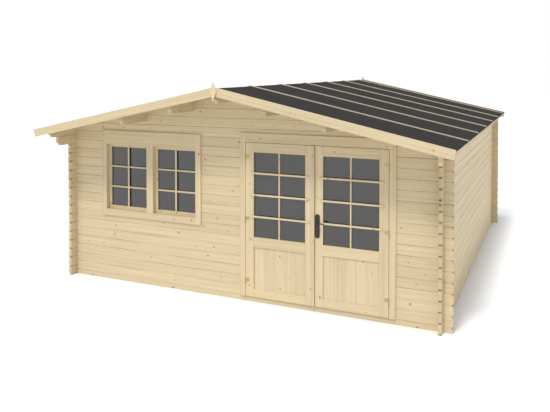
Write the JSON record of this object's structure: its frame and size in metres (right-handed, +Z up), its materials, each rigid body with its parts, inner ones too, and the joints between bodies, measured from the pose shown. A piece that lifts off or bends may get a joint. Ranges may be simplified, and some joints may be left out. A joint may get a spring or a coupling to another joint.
{
  "type": "log-built garden shed",
  "caption": "Hollow timber garden shed with crossed log corners, a low felted gable roof on purlins, a glazed double door that opens outwards and a double window.",
  "frame": {"origin": "on the ground, under the middle of the shed's bounding box", "axes": "+X to the right of someone facing the door, +Y from the front to the rear along the ridge, +Z up"},
  "size_m": [5.18, 5.895, 2.5564],
  "materials": {
    "logs": "planed, untreated spruce",
    "roof_boards": "planed, untreated spruce boards",
    "trim": "planed, untreated spruce",
    "joinery": "planed, untreated spruce",
    "felt": "matt mineral felt",
    "battens": "sawn, greyed",
    "hinges": "yellow zinc plating",
    "handle": "satin black",
    "glass": "clear float glass"
  },
  "bodies": {
    "shed": {"front_sill_log": "logs", "front_wall_below_window": "logs", "front_wall_beside_window": "logs", "front_wall_between": "logs", "front_wall_over_window": "logs", "front_wall_right": "logs", "front_gable": "logs", "left_wall": "logs", "left_wall_plate": "logs", "right_wall": "logs", "right_wall_plate": "logs", "rear_wall": "logs", "ridge_purlin": "logs", "left_purlins": "logs", "right_purlins": "logs", "left_roof_deck": "roof_boards", "right_roof_deck": "roof_boards", "roof_felt": "felt", "left_roof_battens": "battens", "right_roof_battens": "battens", "front_left_bargeboard": "trim", "front_right_bargeboard": "trim", "rear_left_bargeboard": "trim", "rear_right_bargeboard": "trim", "finials": "trim", "door_left_jamb": "trim", "door_right_jamb": "trim", "door_head": "trim", "left_hinge_pins": "hinges", "right_hinge_pins": "hinges", "window_jambs": "trim", "window_head": "trim", "window_sill": "trim", "window_mullion": "trim", "window_sashes": "joinery", "window_glass": "glass"},
    "left_leaf": {"left_door_frame": "joinery", "left_door_panel": "joinery", "left_door_glass": "glass", "door_cover_strip": "joinery", "left_hinge_plates": "hinges"},
    "right_leaf": {"right_door_frame": "joinery", "right_door_panel": "joinery", "right_door_glass": "glass", "right_hinge_plates": "hinges", "handle_plates": "handle"},
    "lever": {"handle_lever": "handle"}
  },
  "joints": [
    {"name": "left_leaf_swing", "type": "hinge", "parent": "shed", "child": "left_leaf", "pos_m": [0.144, -2.437, 0.96], "axis": [0, 0, -1], "range_deg": [0, 120]},
    {"name": "right_leaf_swing", "type": "hinge", "parent": "shed", "child": "right_leaf", "pos_m": [1.836, -2.437, 0.96], "axis": [0, 0, 1], "range_deg": [0, 120]},
    {"name": "lever_turn", "type": "hinge", "parent": "right_leaf", "child": "lever", "pos_m": [1.03325, -2.4105, 1.005], "axis": [0, 1, 0], "range_deg": [0, 40], "stiffness_Nm_per_rad": 1.5, "springref_deg": -17.19}
  ]
}
